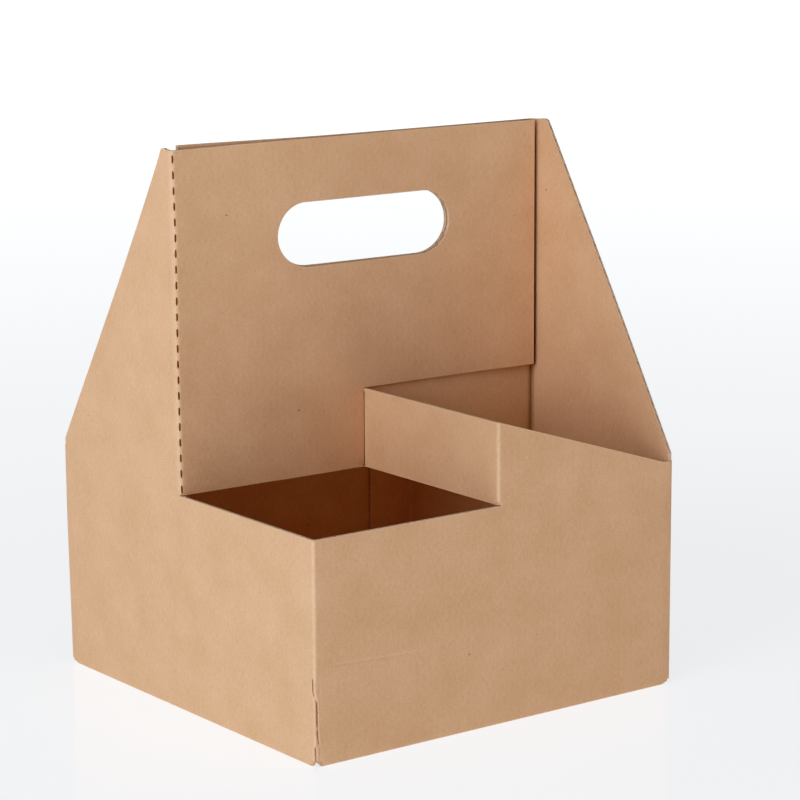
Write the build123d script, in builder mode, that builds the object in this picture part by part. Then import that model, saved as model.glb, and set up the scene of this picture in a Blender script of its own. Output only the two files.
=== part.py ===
from build123d import *
import os

# A folded four-cell cup carrier: one die-cut sheet of corrugated board.
# Lengths are in millimetres. The origin is the middle of the footprint, on the floor.
# +X runs along the front wall to the right, +Y to the back wall, +Z up.
# The sheet is two equal halves, so a half turn about Z maps the carrier onto itself.

# Driving dimensions
width = 190.0  # outside, left to right
depth = 190.0  # outside, front to back
board = 1.5  # thickness of the sheet
fold_radius = 2.2  # outside of every full fold
handle_top = 240.0  # floor to the top edge of the handle
divider_top = 129.0  # floor to the top edge of the dividers
low_rim = 94.0  # floor to the rim of the low cells
shoulder = 100.0  # floor to the rim at the corners beside the gables
rim_level = 5.0  # level end of each sloping rim, at its corner
foot_inset = 4.0  # corner to the foot of each gable's slope
foot_rise = 2.6  # rim to the foot of the slope
foot_lean = 0.6  # how far the short step up to the foot leans in
peak_half = 10.4  # middle plane to the top of each gable's slope
peak_round = 2.5  # rounding of each gable's peak
ply_gap = 0.3  # between the two handle plies
free_end_gap = 2.0  # from a ply's free end to the wall it faces
grip_length = 90.0  # hand hole, end to end
grip_height = 28.0
grip_drop = 39.6  # top edge of the handle to the middle of the hand hole
slit_length = 3.2  # perforation of the side creases
slit_pitch = 6.4
slit_width = 0.6
tab_width = 24.0  # glue tab behind the back-right corner
tab_taper = 8.0  # how far the tab's ends slope in, up and down
raw_edge_inset = 0.6  # back wall's cut edge, short of the right wall's face
toe = 5.0  # level start of a main bottom flap, on the floor
ramp = 8.0  # length over which it climbs onto the side flaps
side_flap_reach = 56.0  # how far the side bottom flaps reach in
side_flap_taper = 18.0  # how much their unglued ends slope back
seam_offset = 30.0  # half the stagger between the main flaps' deep and shallow parts
seam_round = 9.0
seam_gap = 0.8  # between the main bottom flaps
crease_depth = 0.4  # scored line under each side flap
crease_width = 1.2

# Centrelines of the walls, plies and dividers
half_board = board / 2
bend = fold_radius - half_board
wall_x = width / 2 - half_board
wall_y = depth / 2 - half_board
ply_y = ply_gap / 2 + half_board
divider_x = half_board
free_end_x = width / 2 - board - free_end_gap
grip_z = handle_top - grip_drop
slope_foot = (depth / 2 - foot_inset, shoulder + foot_rise)

# The plan at each height, as the centreline that the sheet follows
ring_line = [
    (width / 2 - raw_edge_inset, wall_y),
    (-wall_x, wall_y),
    (-wall_x, -wall_y),
    (wall_x, -wall_y),
    (wall_x, wall_y - tab_width),
]
tab_line = [
    (wall_x, wall_y - tab_width),
    (wall_x, wall_y - board),
    (wall_x - tab_width, wall_y - board),
]
cell_line = [
    (-wall_x, -ply_y),
    (-divider_x, -ply_y),
    (-divider_x, -wall_y),
    (wall_x, -wall_y),
    (wall_x, ply_y),
    (divider_x, ply_y),
    (divider_x, wall_y),
    (-wall_x, wall_y),
]
ply_line = [
    (-wall_x, wall_y),
    (-wall_x, -ply_y),
    (free_end_x, -ply_y),
]

# Waste above a gable's slope, for the left wall
with BuildPart() as gable_waste:
    with BuildSketch(Plane.YZ.offset(-width / 2)):
        with BuildLine():
            slope = FilletPolyline(
                slope_foot,
                (peak_half, handle_top),
                (0, handle_top),
                radius=peak_round,
            )
            Polyline(
                slope @ 1,
                (0, handle_top + board),
                (depth / 2, handle_top + board),
                (depth / 2, shoulder),
                (depth / 2 - foot_inset + foot_lean, shoulder),
                slope @ 0,
            )
        make_face()
    extrude(amount=fold_radius)

# Waste above the sloping rim of the front wall's tall half
with BuildPart() as rim_waste:
    with BuildSketch(Plane.XZ.offset(depth / 2)):
        with BuildLine():
            Polyline(
                (0, divider_top),
                (width / 2 - rim_level, shoulder),
                (width / 2, shoulder),
                (width / 2, divider_top),
                close=True,
            )
        make_face()
    extrude(amount=-board)

# Waste off the sloping ends of the glue tab, which lies against the back wall's inner face
tab_end_x = wall_x - tab_width
tab_root_x = wall_x - bend
with BuildPart() as tab_waste:
    with BuildSketch(Plane.XZ.offset(board - depth / 2)):
        with BuildLine():
            Polyline(
                (tab_root_x, low_rim),
                (tab_end_x, low_rim - tab_taper),
                (tab_end_x, low_rim),
                close=True,
            )
        make_face()
        with BuildLine():
            Polyline(
                (tab_root_x, fold_radius),
                (tab_end_x, fold_radius + tab_taper),
                (tab_end_x, fold_radius),
                close=True,
            )
        make_face()
    extrude(amount=board)

# Perforation slits through the side crease of the front ply
bend_centre = (-wall_x + bend, -ply_y + bend)
crease_height = handle_top - low_rim
slit_count = int(crease_height / slit_pitch)
crease_plane = Plane(
    origin=(*bend_centre, low_rim + crease_height / 2),
    x_dir=(1, -1, 0),
    z_dir=(-1, -1, 0),
)
with BuildPart() as slits:
    with BuildSketch(crease_plane):
        with GridLocations(0, slit_pitch, 1, slit_count):
            Rectangle(slit_width, slit_length)
    extrude(amount=fold_radius + half_board)

# The front main bottom flap: level at the wall, then up onto the side flaps
flap_half = width / 2 - fold_radius
flap_mitre = toe + ramp
deep_edge = seam_offset - seam_gap / 2
shallow_edge = -seam_offset - seam_gap / 2
inner_half = flap_half - flap_mitre
with BuildPart() as main_flap:
    with BuildSketch(Plane.YZ.offset(-flap_half)):
        with BuildLine():
            FilletPolyline(
                (-wall_y, 2 * fold_radius),
                (-wall_y, half_board),
                (-wall_y + toe, half_board),
                (-wall_y + toe + ramp, half_board + board),
                (deep_edge, half_board + board),
                radius=[bend, toe / 2, toe / 2],
            )
        trace(line_width=board)
    extrude(amount=2 * flap_half)
    with BuildSketch():
        with BuildLine():
            seam = FilletPolyline(
                (inner_half, deep_edge),
                (seam_offset / 2, deep_edge),
                (-seam_offset / 2, shallow_edge),
                (-inner_half, shallow_edge),
                radius=seam_round,
            )
            Polyline(
                seam @ 1,
                (-inner_half, -depth / 2 + flap_mitre),
                (-flap_half, -depth / 2),
                (flap_half, -depth / 2),
                (inner_half, -depth / 2 + flap_mitre),
                seam @ 0,
            )
        make_face()
    extrude(amount=2 * fold_radius, mode=Mode.INTERSECT)

# The left side bottom flap, with its glued end towards the front wall
side_half = depth / 2 - fold_radius
side_inner = side_half - flap_mitre
side_edge_x = -width / 2 + side_flap_reach
with BuildPart() as side_flap:
    with BuildSketch(Plane.XZ.offset(-side_half)):
        with BuildLine():
            FilletPolyline(
                (-wall_x, 2 * fold_radius),
                (-wall_x, half_board),
                (side_edge_x, half_board),
                radius=bend,
            )
        trace(line_width=board)
    extrude(amount=2 * side_half)
    with BuildSketch():
        with BuildLine():
            Polyline(
                (-width / 2, -side_half),
                (-width / 2 + flap_mitre, -side_inner),
                (side_edge_x, -side_inner),
                (side_edge_x, side_inner - side_flap_taper - flap_mitre),
                (-width / 2 + flap_mitre, side_inner),
                (-width / 2, side_half),
                close=True,
            )
        make_face()
    extrude(amount=2 * fold_radius, mode=Mode.INTERSECT)
    with BuildSketch():
        with BuildLine():
            Line(
                (-width / 2 + flap_mitre, -side_inner),
                (side_edge_x, -side_inner + side_flap_reach - flap_mitre),
            )
        trace(line_width=crease_width)
    extrude(amount=crease_depth, mode=Mode.SUBTRACT)

# The whole sheet
with BuildPart() as carrier:
    with BuildSketch(Plane.XY.offset(fold_radius)):
        with BuildLine():
            FilletPolyline(*ring_line, radius=bend)
        trace(line_width=board)
        with BuildLine():
            FilletPolyline(*tab_line, radius=bend)
        trace(line_width=board)
    extrude(amount=low_rim - fold_radius)
    add(tab_waste.part, mode=Mode.SUBTRACT)
    with BuildSketch(Plane.XY.offset(low_rim)):
        with BuildLine():
            FilletPolyline(*cell_line, radius=bend, close=True)
        trace(line_width=board)
    extrude(amount=divider_top - low_rim)
    with BuildSketch(Plane.XY.offset(divider_top)):
        with BuildLine():
            front_ply = FilletPolyline(*ply_line, radius=bend)
        with BuildLine():
            add(front_ply, rotation=180)
        trace(line_width=board)
    extrude(amount=handle_top - divider_top)
    with PolarLocations(0, 2):
        add(gable_waste.part, mode=Mode.SUBTRACT)
        add(rim_waste.part, mode=Mode.SUBTRACT)
        add(slits.part, mode=Mode.SUBTRACT)
        add(main_flap.part)
        add(side_flap.part)
    with BuildSketch(Plane.XZ):
        with Locations((0, grip_z)):
            SlotOverall(grip_length, grip_height)
    extrude(amount=2 * ply_y, both=True, mode=Mode.SUBTRACT)

carrier.part.label = "carrier"
os.makedirs("parts", exist_ok=True)
export_step(carrier.part, "parts/carrier.step")
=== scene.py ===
import bpy
import bmesh
import math
import numpy as np
from mathutils import Matrix, Vector
from mathutils.geometry import delaunay_2d_cdt


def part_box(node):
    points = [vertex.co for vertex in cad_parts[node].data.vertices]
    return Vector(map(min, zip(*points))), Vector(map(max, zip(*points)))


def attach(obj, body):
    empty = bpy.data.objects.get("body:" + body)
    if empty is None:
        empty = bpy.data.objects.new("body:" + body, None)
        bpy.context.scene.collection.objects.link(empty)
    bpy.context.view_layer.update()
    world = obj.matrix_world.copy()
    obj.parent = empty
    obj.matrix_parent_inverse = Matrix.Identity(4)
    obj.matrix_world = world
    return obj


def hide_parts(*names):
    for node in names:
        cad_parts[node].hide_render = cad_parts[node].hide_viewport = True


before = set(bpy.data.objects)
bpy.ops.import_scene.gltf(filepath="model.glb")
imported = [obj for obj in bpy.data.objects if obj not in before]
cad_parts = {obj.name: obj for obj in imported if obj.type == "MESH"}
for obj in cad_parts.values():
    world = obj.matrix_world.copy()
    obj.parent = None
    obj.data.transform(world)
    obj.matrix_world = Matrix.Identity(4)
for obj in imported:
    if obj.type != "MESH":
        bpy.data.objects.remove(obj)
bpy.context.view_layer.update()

# The carrier is one sheet of corrugated board. It is drawn flat, cut, and then folded.
# On the flat sheet, s runs along the walls and z is the height that a point has on a wall.
# The sheet is two equal halves. The first is the left and front walls with the front ply and
# the front divider, and the second is the same turned half round.
# Lengths are in millimetres until the mesh is made.
MM = 0.001
low_corner, high_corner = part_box("carrier")
SIDE = (high_corner[0] - low_corner[0]) / MM
HANDLE_TOP = (high_corner[2] - low_corner[2]) / MM

# Sizes of the sheet and its parts
BOARD = 1.5
LINER = 0.2
MEDIUM = 0.16
FLUTE_PITCH = 3.3
BEND = 0.95
FOLD = 2.2
DIVIDER_TOP = 129.0
LOW_RIM = 94.0
SHOULDER = 100.0
SLOPE_FOOT = 103.2
SLOPE_INSET = 0.3
LEVEL_RIM = 5.0
PEAK_HALF = 10.4
PEAK_RADIUS = {False: 0.7, True: 2.5}
PLY_GAP = 0.3
FREE_END_GAP = {False: 2.0, True: 3.0}
GRIP_LENGTH = 90.0
GRIP_HEIGHT = 27.8
GRIP_DROP = 40.9
GRIP_FULLER = 2.0
KERF = 0.3
TAB_WIDTH = 24.0
TAB_TAPER = 8.0
RAW_EDGE_INSET = 0.6
TOE = 5.0
RAMP = 8.0
SIDE_FLAP_REACH = 56.0
SIDE_FLAP_TAPER = 18.0
SEAM_OFFSET = 30.0
SEAM_ROUND = 9.0
SEAM_GAP = 0.8
FLAP_REACH = 120.0
SLIT_PITCH = 6.64
SLIT_LENGTH = 3.6
SLIT_WIDTH = 0.6
SLIT_FIRST = 97.0
SLIT_COUNT = 22
SLIT_BLUNTNESS = 0.7

# Middle planes of the board, as distances from the carrier's axis
HALF = BOARD / 2
WALL = SIDE / 2 - HALF
PLY = PLY_GAP / 2 + HALF
DIVIDER = HALF

# Places along the flat sheet: corners, creases and ends
S_BACK_LEFT = 0.0
S_CREASE = WALL + PLY
S_FRONT_LEFT = 2 * WALL
S_VALLEY = S_CREASE + WALL - DIVIDER
S_MIDDLE = S_FRONT_LEFT + WALL - DIVIDER
S_FRONT_RIGHT = 4 * WALL
S_END_WALL = S_CREASE + WALL + SIDE / 2 - BOARD
S_RAW = S_FRONT_LEFT - HALF + RAW_EDGE_INSET
S_TAB = S_FRONT_LEFT - BOARD

# How finely the flat sheet is divided
FINE = FLUTE_PITCH / 6
COARSE = 2.5
GRID = 7.0
ARC_STEPS = 6
FOLD_STEP = 3.0
CRACK_STEP = (0.2, 0.8)
RAMP_STEPS = 4
GRIP_STEPS = 40
SLIT_POINTS = 10
FOLD_CLEARANCE = 1.0
EDGE_CLEARANCE = 0.3

LEFT, RIGHT = 1, -1


def follow(s, start, station, heading, folds):
    """Folds the line of the board: its middle point and outward direction at each distance s."""
    point = np.zeros((len(s), 2))
    outward = np.zeros((len(s), 2))
    here = np.array(start, float)
    ahead = np.array(heading, float)
    for fold_station, turn in list(folds) + [(np.inf, LEFT)]:
        out = np.array([ahead[1], -ahead[0]])
        straight = s >= station
        point[straight] = here + np.outer(s[straight] - station, ahead)
        outward[straight] = out
        if np.isinf(fold_station):
            break
        corner = here + ahead * (fold_station - station)
        centre = corner - BEND * ahead - turn * BEND * out
        zone = s >= fold_station - BEND
        angle = np.clip((s[zone] - fold_station + BEND) / (2 * BEND), 0, 1) * math.pi / 2
        turned = np.outer(np.cos(angle), out) + np.outer(np.sin(angle), turn * ahead)
        point[zone] = centre + turn * BEND * turned
        outward[zone] = turned
        ahead = turn * np.array([-ahead[1], ahead[0]])
        here = corner + BEND * ahead
        station = fold_station + BEND
    return point, outward


# The folds that the board meets on its way along s, at each height: where, and which way it turns
CORNERS = [(S_BACK_LEFT, LEFT), (S_FRONT_LEFT, LEFT), (S_FRONT_RIGHT, LEFT)]
CELLS = [
    (S_BACK_LEFT, LEFT),
    (S_CREASE, LEFT),
    (S_VALLEY, RIGHT),
    (S_MIDDLE, LEFT),
    (S_FRONT_RIGHT, LEFT),
]
PLIES = [(S_BACK_LEFT, LEFT), (S_CREASE, LEFT)]
TAB_SIDE = [(S_BACK_LEFT, LEFT), (S_TAB, LEFT)]
RAW_SIDE = [(S_FRONT_RIGHT, LEFT)]
START = 10.0
RAW_START = S_FRONT_LEFT - 0.5


def midline(s, z, glued, tab):
    """The plan position and outward direction of flat points, by the fold lines at their height."""
    point = np.zeros((len(s), 2))
    outward = np.zeros((len(s), 2))
    back = ((-WALL + START, WALL), -START, (-1, 0))
    upper = z > LOW_RIM + KERF / 2
    top = z > DIVIDER_TOP + KERF / 2
    joined = np.full(len(s), not glued)
    raw = ~upper & ~joined & (s > RAW_START) & (not tab)
    left = ~upper & ~joined & ~raw
    ring = ~upper & joined
    for chosen, line in (
        (ring, (*back, CORNERS)),
        (left, (*back, TAB_SIDE)),
        (raw, ((-WALL - START, -WALL), S_FRONT_LEFT - START, (1, 0), RAW_SIDE)),
        (upper & ~top, (*back, CELLS)),
        (top, (*back, PLIES)),
    ):
        if chosen.any():
            point[chosen], outward[chosen] = follow(s[chosen], *line)
    return point, outward


def smooth(x):
    """Rises smoothly from 0 at x = 0 to 1 at x = 1."""
    x = np.clip(x, 0, 1)
    return x * x * (3 - 2 * x)


def ramp(x, start, end):
    """Rises smoothly from 0 at the start to 1 at the end."""
    return smooth((x - start) / (end - start))


def hump(x, middle, width):
    """A smooth hump, 1 at its middle."""
    return np.exp(-((x - middle) / width) ** 2)


def fold_up(flat, thickness, glued, tab=False):
    """Folds flat points (s, z), each at a thickness off the board's middle, into space."""
    s, z = flat[:, 0], flat[:, 1]
    point, outward = midline(s, z, glued, tab)
    place = np.zeros((len(s), 3))
    normal = np.zeros((len(s), 3))
    place[:, :2] = point
    place[:, 2] = z
    normal[:, :2] = outward
    out = np.column_stack([outward, np.zeros(len(s))])
    down = np.array([0, 0, -1.0])
    crease = z < HALF + BEND
    angle = np.clip((HALF + BEND - z[crease]) / (2 * BEND), 0, 1) * math.pi / 2
    turned = np.cos(angle)[:, None] * out[crease] + np.sin(angle)[:, None] * down
    centre = place[crease] - BEND * out[crease]
    centre[:, 2] = HALF + BEND
    place[crease] = centre + BEND * turned
    normal[crease] = turned
    flap = z < HALF - BEND
    inward = HALF - z[flap]
    front = s[flap] > S_FRONT_LEFT
    climb = np.where(front, BOARD * smooth((inward - TOE) / RAMP), 0)
    place[flap, :2] = point[flap] - outward[flap] * inward[:, None]
    place[flap, 2] = HALF + climb
    normal[flap] = down
    return place + normal * thickness[:, None]


# How the used board stands off its true folded form
# The front ply's left crease stands back. Each pair is a height and how far back the crease is there.
CREASE_BACK = ((60.0, 0.0), (94.0, 1.9), (115.0, 2.6), (150.0, 3.1), (205.0, 3.1), (240.0, 4.3))
# From the middle of the handle, the stretch over which a ply bends back to its crease or free end
PLY_BEND = (15.0, 95.0)
# The reach of the left wall that follows the crease, on either side of it
CREASE_REACH = 88.0
CREASE_MARGIN = 4.0
# The front ply's free end stands forward
FREE_END_FORWARD = 3.2
FREE_END_BEND = (5.0, 93.0)
FREE_END_POWER = 2.6
# The back ply's free end parts from the front ply, and rises
PLY_PARTING = 0.9
FREE_END_RISE = 0.8
FREE_END_RISE_POWER = 1.5
# The gables' peaks: the left one sinks, with a small bump on its top edge, and the right one rises
LEFT_PEAK_DROP = 0.85
LEFT_PEAK_HEIGHTS = (190.0, 240.0)
LEFT_PEAK_REACH = 60.0
BUMP = 0.5
BUMP_PLACE = 7.5
BUMP_WIDTH = 3.0
BUMP_HEIGHTS = (225.0, 240.0)
RIGHT_PEAK_RISE = 0.6
RIGHT_PEAK_HEIGHTS = (200.0, 240.0)
RIGHT_PEAK_REACH = 8.0
# The gables bow along their sloping edge, and the back-left corner splays out
GABLE_SLOPE = 1.627
GABLE_BOW = {False: -0.8, True: 1.0}
CORNER_FLARE = 1.7
FLARE_HEIGHTS = (-10.0, 80.0)
FLARE_LEFT_WALL = (30.0, 90.0)
FLARE_BACK_WALL = (30.0, 90.0)
FLARE_NEAR_BACK = (60.0, 90.0)


def settle(place, flat, glued):
    """Moves the points of a half from the true folded form to how the used board stands."""
    s, z = flat[:, 0], flat[:, 1]
    x, y = place[:, 0], place[:, 1]
    moved = place.copy()
    back = np.interp(z, *zip(*CREASE_BACK))
    ply = (s > S_CREASE) & (z > LOW_RIM + KERF / 2)
    free = ply & (z > DIVIDER_TOP + KERF / 2)
    gable = (s < S_CREASE) & (z > SHOULDER)
    edge = PEAK_HALF + (HANDLE_TOP - z) / GABLE_SLOPE
    flare = CORNER_FLARE * ramp(z, *FLARE_HEIGHTS)
    if glued:
        along = np.clip((x + WALL) / (2 * WALL), 0, 1)
        peak = ramp(z, *RIGHT_PEAK_HEIGHTS) * smooth(y / RIGHT_PEAK_REACH)
        moved[:, 1] -= np.where(free, (back + PLY_PARTING) * ramp(x, *PLY_BEND), 0)
        moved[:, 2] += np.where(free, FREE_END_RISE * along ** FREE_END_RISE_POWER, 0)
        moved[:, 2] += np.where(gable, RIGHT_PEAK_RISE * peak, 0)
        moved[:, 1] -= flare * ramp(x, *FLARE_BACK_WALL) * ramp(-y, *FLARE_NEAR_BACK)
    else:
        reach = np.minimum(edge + PLY + CREASE_MARGIN, CREASE_REACH)
        follows = np.where(ply, ramp(-x, *PLY_BEND), smooth(1 - abs(y + PLY) / reach))
        divider = ply & (z < DIVIDER_TOP) & (s > S_VALLEY)
        start, end = FREE_END_BEND
        forward = np.clip((x - start) / (end - start), 0, 1) ** FREE_END_POWER
        near_left = np.clip((LEFT_PEAK_REACH - x - WALL) / LEFT_PEAK_REACH, 0, 1)
        bump = hump(y, BUMP_PLACE, BUMP_WIDTH) * ramp(z, *BUMP_HEIGHTS)
        moved[:, 1] += back * follows * (x < 0) * ~divider
        moved[:, 1] -= np.where(free, FREE_END_FORWARD * forward, 0)
        moved[:, 2] -= LEFT_PEAK_DROP * ramp(z, *LEFT_PEAK_HEIGHTS) * near_left
        moved[:, 2] += np.where(gable, BUMP * bump, 0)
        moved[:, 1] += flare * ramp(y, *FLARE_LEFT_WALL) * (x < 0)
    bow = np.sin(math.pi * np.clip((HANDLE_TOP - z) / (HANDLE_TOP - SHOULDER), 0, 1))
    moved[:, 1] += np.where(gable, GABLE_BOW[glued] * bow * np.clip(y / edge, 0, 1), 0)
    return moved


def split(a, b, step):
    """Points from a up to but not including b, at most a step apart."""
    a, b = np.array(a, float), np.array(b, float)
    count = max(1, math.ceil(np.linalg.norm(b - a) / step - 1e-6))
    return [a + (b - a) * i / count for i in range(count)]


def round_corner(a, corner, b, radius, pieces=6):
    """Points of an arc that rounds the corner between the runs from a and to b."""
    a, corner, b = np.array(a, float), np.array(corner, float), np.array(b, float)
    to_a = (a - corner) / np.linalg.norm(a - corner)
    to_b = (b - corner) / np.linalg.norm(b - corner)
    half = math.acos(np.clip(to_a @ to_b, -1, 1)) / 2
    reach = radius / math.tan(half)
    middle = to_a + to_b
    centre = corner + middle / np.linalg.norm(middle) * radius / math.sin(half)
    first = corner + to_a * reach - centre
    last = corner + to_b * reach - centre
    whole = math.atan2(first[0] * last[1] - first[1] * last[0], first @ last)
    points = []
    for i in range(pieces + 1):
        turn = whole * i / pieces
        cos, sin = math.cos(turn), math.sin(turn)
        points.append(centre + np.array([cos * first[0] - sin * first[1], sin * first[0] + cos * first[1]]))
    return points


# Kinds of edge: a cut across the flutes, which shows them, a plain cut, and a join to another chart.
# A slit is a pocket that stops short of the inner liner.
OPEN, PLAIN, JOIN, SLIT = "open", "plain", "join", "slit"
STEP = {OPEN: FINE, PLAIN: COARSE, JOIN: FOLD_STEP, SLIT: COARSE}


def loop(corners):
    """Points round a closed outline, in single precision, and the kind of edge after each."""
    points, kinds = [], []
    for i, (corner, kind) in enumerate(corners):
        following = corners[(i + 1) % len(corners)][0]
        run = split(corner, following, STEP[kind])
        points += run
        kinds += [kind] * len(run)
    return np.array(points, np.float32).astype(float), kinds


def of_kind(points, kind):
    return [(point, kind) for point in points]


def flap_corners(glued):
    """The lower side of a half: its two bottom flaps, from the back-left corner to the front-right."""
    deep = SIDE / 2 + SEAM_OFFSET - SEAM_GAP / 2
    shallow = SIDE / 2 - SEAM_OFFSET - SEAM_GAP / 2
    mitre = TOE + RAMP
    side_a = BEND
    side_b = (S_TAB if glued else S_FRONT_LEFT) - BEND
    main_a, main_b = S_FRONT_LEFT + BEND, S_FRONT_RIGHT - BEND
    middle = S_FRONT_LEFT + WALL
    turn_a = (middle - SEAM_OFFSET / 2, BOARD - shallow)
    turn_b = (middle + SEAM_OFFSET / 2, BOARD - deep)
    shallow_end = (main_a + mitre, BOARD - shallow)
    deep_end = (main_b - mitre, BOARD - deep)
    side = [
        (side_a, FOLD),
        (side_a, BOARD),
        (side_a + mitre, BOARD - mitre),
        (side_a + mitre + SIDE_FLAP_TAPER + mitre, BOARD - SIDE_FLAP_REACH),
        (side_b - mitre, BOARD - SIDE_FLAP_REACH),
        (side_b - mitre, BOARD - mitre),
        (side_b, BOARD),
        (side_b, FOLD),
    ]
    main = [
        (main_a, FOLD),
        (main_a, BOARD),
        (main_a + mitre, BOARD - mitre),
        shallow_end,
        *round_corner(shallow_end, turn_a, turn_b, SEAM_ROUND),
        *round_corner(turn_a, turn_b, deep_end, SEAM_ROUND),
        deep_end,
        (main_b - mitre, BOARD - mitre),
        (main_b, BOARD),
        (main_b, FOLD),
    ]
    return side, main


def half_outline(glued):
    """The outline of one half of the flat sheet, anticlockwise. A glued half has the cut corner."""
    side, main = flap_corners(glued)
    slot_a, slot_b = S_CREASE - BEND, S_MIDDLE + BEND
    free_end = S_END_WALL - FREE_END_GAP[glued]
    rim_start = S_FRONT_LEFT + WALL
    rim_end = S_FRONT_RIGHT + HALF - LEVEL_RIM
    corners = [((S_BACK_LEFT, FOLD), PLAIN)]
    corners += of_kind(side, PLAIN)
    if glued:
        corners[-1] = (side[-1], JOIN)
        corners += [((side[-1][0], LOW_RIM), OPEN), ((slot_a, LOW_RIM), PLAIN)]
        corners += [((slot_a, LOW_RIM + KERF), PLAIN), ((slot_b, LOW_RIM + KERF), PLAIN)]
        corners += [((slot_b, LOW_RIM), OPEN), ((S_RAW, LOW_RIM), PLAIN), ((S_RAW, FOLD), PLAIN)]
    corners += of_kind(main, PLAIN)
    corners += [((S_FRONT_RIGHT, FOLD), JOIN), ((S_FRONT_RIGHT, SHOULDER), OPEN)]
    corners += [((rim_end, SHOULDER), OPEN), ((rim_start, DIVIDER_TOP), OPEN)]
    corners += [((S_VALLEY - BEND, DIVIDER_TOP), PLAIN), ((S_VALLEY - BEND, DIVIDER_TOP + KERF), PLAIN)]
    corners += [((free_end, DIVIDER_TOP + KERF), PLAIN), ((free_end, HANDLE_TOP), OPEN)]
    peak = (WALL - PEAK_HALF, HANDLE_TOP)
    foot = (SLOPE_INSET, SLOPE_FOOT)
    corners += of_kind(round_corner((S_CREASE, HANDLE_TOP), peak, foot, PEAK_RADIUS[glued]), OPEN)
    corners += [(foot, OPEN), ((SLOPE_INSET / 2, SHOULDER), OPEN), ((S_BACK_LEFT, SHOULDER), JOIN)]
    return corners


def grip_outline():
    """The hand hole, clockwise: two straight runs and two round ends, which are fuller below."""
    radius = GRIP_HEIGHT / 2
    reach = GRIP_LENGTH / 2 - radius
    centre_s = S_CREASE + WALL
    centre_z = HANDLE_TOP - GRIP_DROP
    corners = []
    for side, first in ((1, 90), (-1, 270)):
        for i in range(GRIP_STEPS + 1):
            angle = math.radians(first - 180 * i / GRIP_STEPS)
            fuller = GRIP_FULLER if math.sin(angle) < 0 else 0.0
            across = side * (reach - fuller) + (radius + fuller) * math.cos(angle)
            corners.append(((centre_s + across, centre_z + radius * math.sin(angle)), OPEN))
    return corners


def slot_outline():
    """The cut that frees the ply and the divider from the low rim, clockwise."""
    a, b = S_CREASE - BEND, S_MIDDLE + BEND
    return [
        ((a, LOW_RIM), PLAIN),
        ((a, LOW_RIM + KERF), PLAIN),
        ((b, LOW_RIM + KERF), PLAIN),
        ((b, LOW_RIM), OPEN),
    ]


def slit_outlines():
    """The perforation of the crease: narrow rounded slits, clockwise."""
    outlines = []
    for i in range(SLIT_COUNT):
        z = SLIT_FIRST + i * SLIT_PITCH
        shape = []
        for k in range(SLIT_POINTS):
            angle = 2 * math.pi * k / SLIT_POINTS
            across = SLIT_WIDTH / 2 * math.copysign(abs(math.sin(angle)) ** SLIT_BLUNTNESS, math.sin(angle))
            shape.append((S_CREASE + across, z + SLIT_LENGTH / 2 * math.cos(angle)))
        outlines.append(of_kind(shape, SLIT))
    return outlines


def inside(points, outlines):
    """Which points lie within the outlines, by the even-odd rule."""
    found = np.zeros(len(points), bool)
    x, y = points[:, 0], points[:, 1]
    for outline in outlines:
        following = np.roll(outline, -1, axis=0)
        for a, b in zip(outline, following):
            if a[1] == b[1]:
                continue
            crosses = (y >= min(a[1], b[1])) & (y < max(a[1], b[1]))
            at = a[0] + (y - a[1]) * (b[0] - a[0]) / (b[1] - a[1])
            found ^= crosses & (x < at)
    return found


def lattice(s_values, z_values):
    """Points at each pair of the values."""
    grid = np.meshgrid(s_values, z_values)
    return np.column_stack([grid[0].ravel(), grid[1].ravel()])


def bend_columns(station, steps=ARC_STEPS):
    """Places across a fold, close enough for its bend."""
    return station + np.linspace(-BEND, BEND, steps + 1)


def inner_points(glued):
    """Points inside a half: close columns where the board bends, and a wide grid elsewhere."""
    corner_rows = np.arange(FOLD + FOLD_STEP, SHOULDER, FOLD_STEP)
    low_rows = np.arange(FOLD + FOLD_STEP, LOW_RIM, FOLD_STEP)
    divider_rows = np.arange(LOW_RIM + KERF + FOLD_STEP / 2, DIVIDER_TOP, FOLD_STEP)
    crease_rows = np.arange(LOW_RIM + KERF + FOLD_STEP / 4, HANDLE_TOP, FOLD_STEP / 2)
    sets = [
        lattice(bend_columns(S_BACK_LEFT)[ARC_STEPS // 2 + 1:], corner_rows),
        lattice(bend_columns(S_FRONT_RIGHT)[:ARC_STEPS // 2], corner_rows),
        lattice(bend_columns(S_CREASE), crease_rows),
        lattice(bend_columns(S_VALLEY, 2 * ARC_STEPS), divider_rows),
        lattice(bend_columns(S_MIDDLE), divider_rows),
    ]
    if not glued:
        across, up = CRACK_STEP
        columns = S_FRONT_LEFT + np.arange(-CRACK_SPREAD, CRACK_SPREAD + across / 2, across)
        sets.append(lattice(bend_columns(S_FRONT_LEFT), low_rows[low_rows > CRUSH_TOP]))
        sets.append(lattice(columns, np.arange(FOLD + FOLD_STEP / 5, CRUSH_TOP, up)))
    bottom_rows = HALF + np.linspace(-BEND, BEND, ARC_STEPS + 1)
    sets.append(lattice(np.arange(BEND + FOLD_STEP, S_FRONT_RIGHT - BEND, FOLD_STEP), bottom_rows))
    ramp_rows = BOARD - np.linspace(TOE, TOE + RAMP, RAMP_STEPS + 1)
    sets.append(lattice(np.arange(S_FRONT_LEFT + BEND + GRID, S_FRONT_RIGHT, GRID), ramp_rows))
    wide = lattice(np.arange(GRID, S_FRONT_RIGHT, GRID), np.arange(-FLAP_REACH, HANDLE_TOP, GRID))
    clear = abs(wide[:, 1] - HALF) > BEND + FOLD_CLEARANCE
    for station in (S_BACK_LEFT, S_CREASE, S_FRONT_LEFT, S_MIDDLE, S_FRONT_RIGHT):
        clear &= abs(wide[:, 0] - station) > BEND + FOLD_CLEARANCE
    sets.append(wide[clear])
    return np.vstack(sets)


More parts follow.
